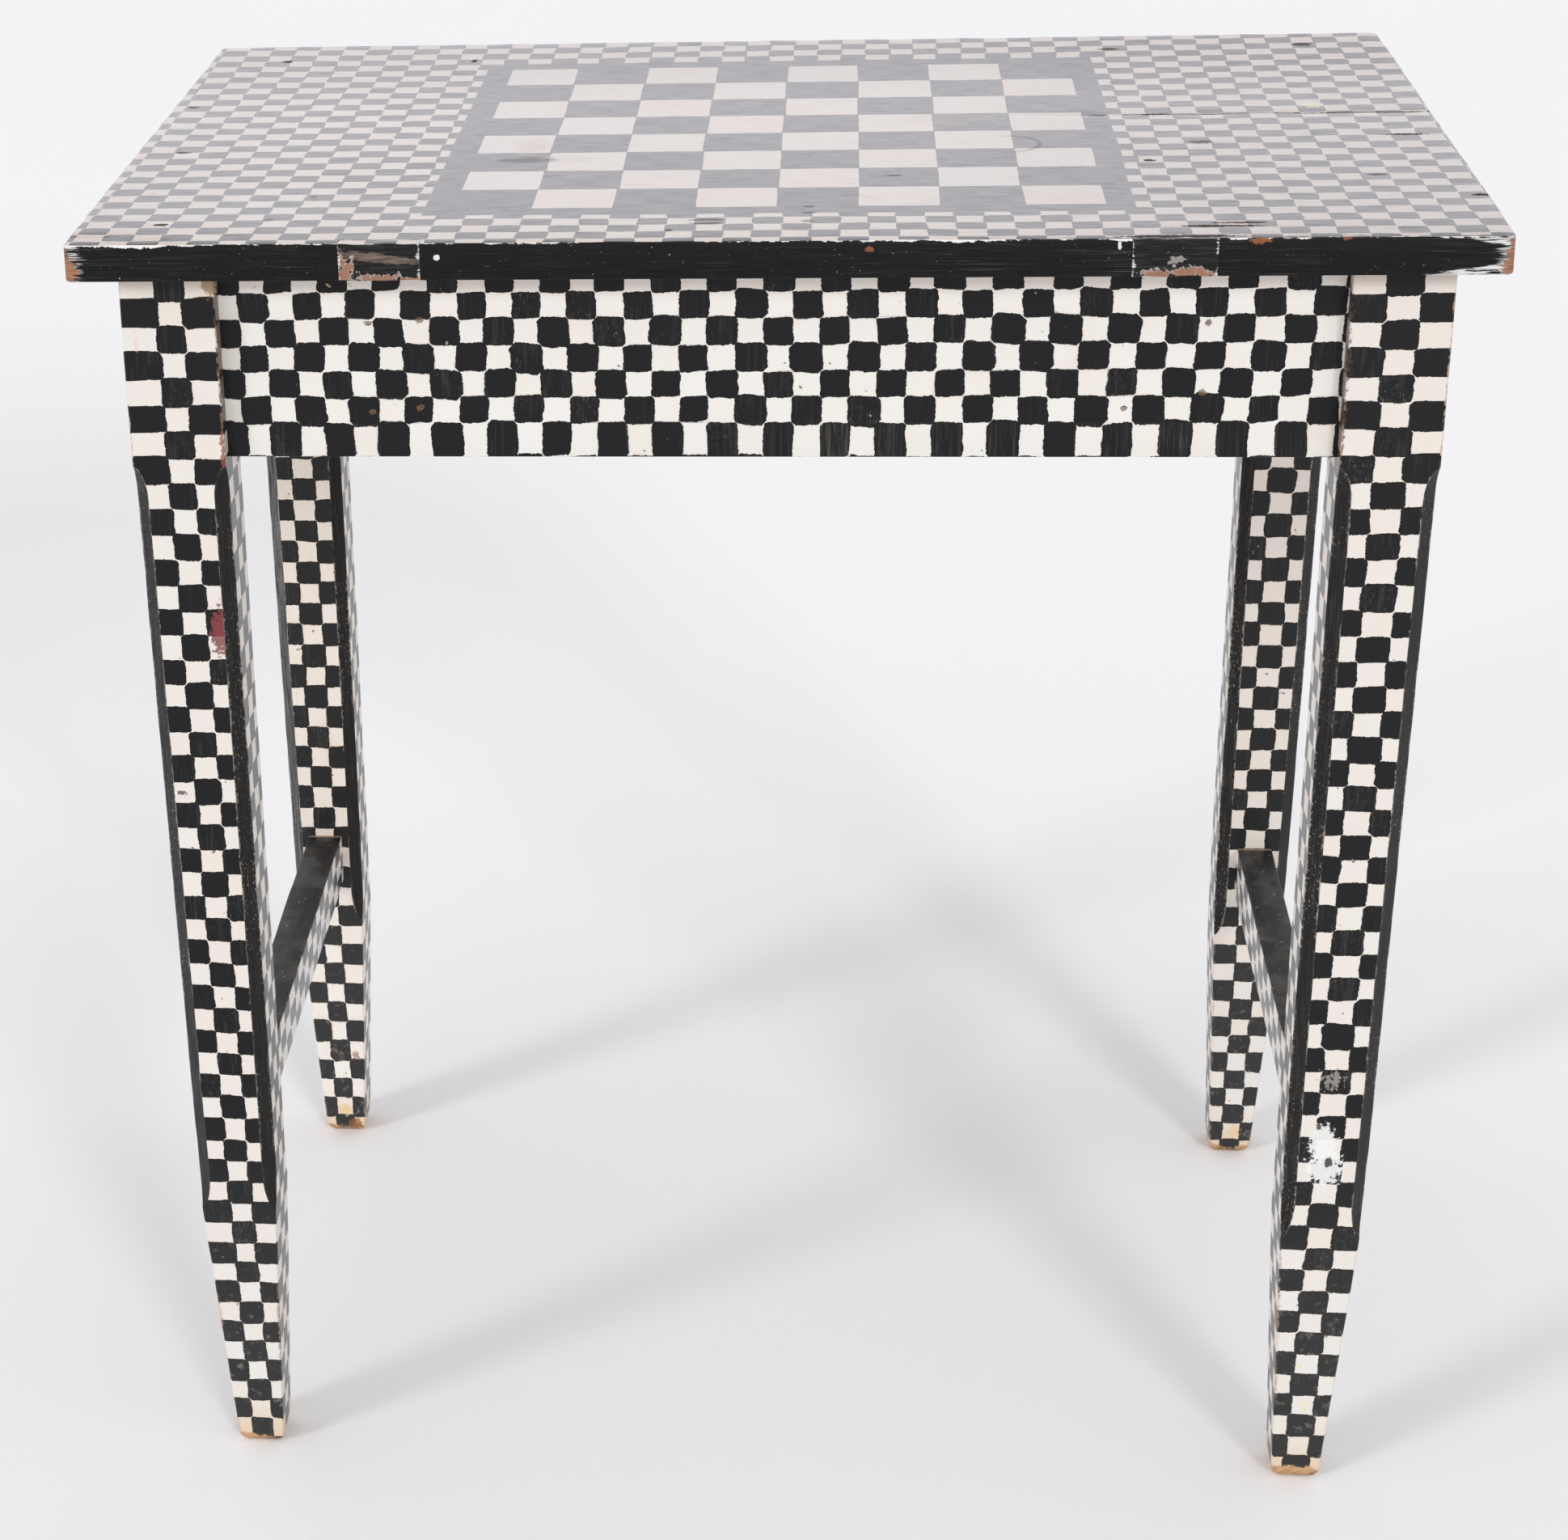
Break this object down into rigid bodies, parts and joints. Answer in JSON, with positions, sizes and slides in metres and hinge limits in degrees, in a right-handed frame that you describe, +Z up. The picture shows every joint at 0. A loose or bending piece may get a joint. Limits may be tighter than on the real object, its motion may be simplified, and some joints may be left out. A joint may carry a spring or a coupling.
{
  "type": "chess table",
  "caption": "Small fixed table with a painted chess board on its top, stop-chamfered tapered legs, deep aprons and low side stretchers.",
  "frame": {"origin": "on the floor, under the middle of the top", "axes": "+X to the right of a person at the front, +Y to the back, +Z up"},
  "size_m": [0.702, 0.466, 0.74],
  "materials": {
    "painted_top": "black and cream checks painted on wood, satin varnish, worn arrises",
    "patched_edge": "black paint chipped back to reddish brown wood",
    "painted_leg": "black and cream checks painted on wood, black chamfers, satin varnish",
    "painted_apron": "black and cream checks painted on wood, satin varnish",
    "painted_stretcher": "black top, fine black and cream checks on the sides, satin varnish",
    "bare_pine": "bare aged pine",
    "screw_steel": "dull old steel, slotted"
  },
  "bodies": {
    "root": {"top_board_back": "painted_top", "top_board_front": "painted_top", "edge_patch_left": "patched_edge", "edge_patch_right": "patched_edge", "leg_front_left": "painted_leg", "leg_front_right": "painted_leg", "leg_back_left": "painted_leg", "leg_back_right": "painted_leg", "apron_front": "painted_apron", "apron_back": "painted_apron", "apron_left": "painted_apron", "apron_right": "painted_apron", "stretcher_left": "painted_stretcher", "stretcher_right": "painted_stretcher", "glue_block_front_left": "bare_pine", "glue_block_front_right": "bare_pine", "glue_block_back_left": "bare_pine", "glue_block_back_right": "bare_pine", "glue_block_left": "bare_pine", "glue_block_right": "bare_pine", "top_screws": "screw_steel", "apron_screws": "screw_steel"}
  },
  "joints": []
}
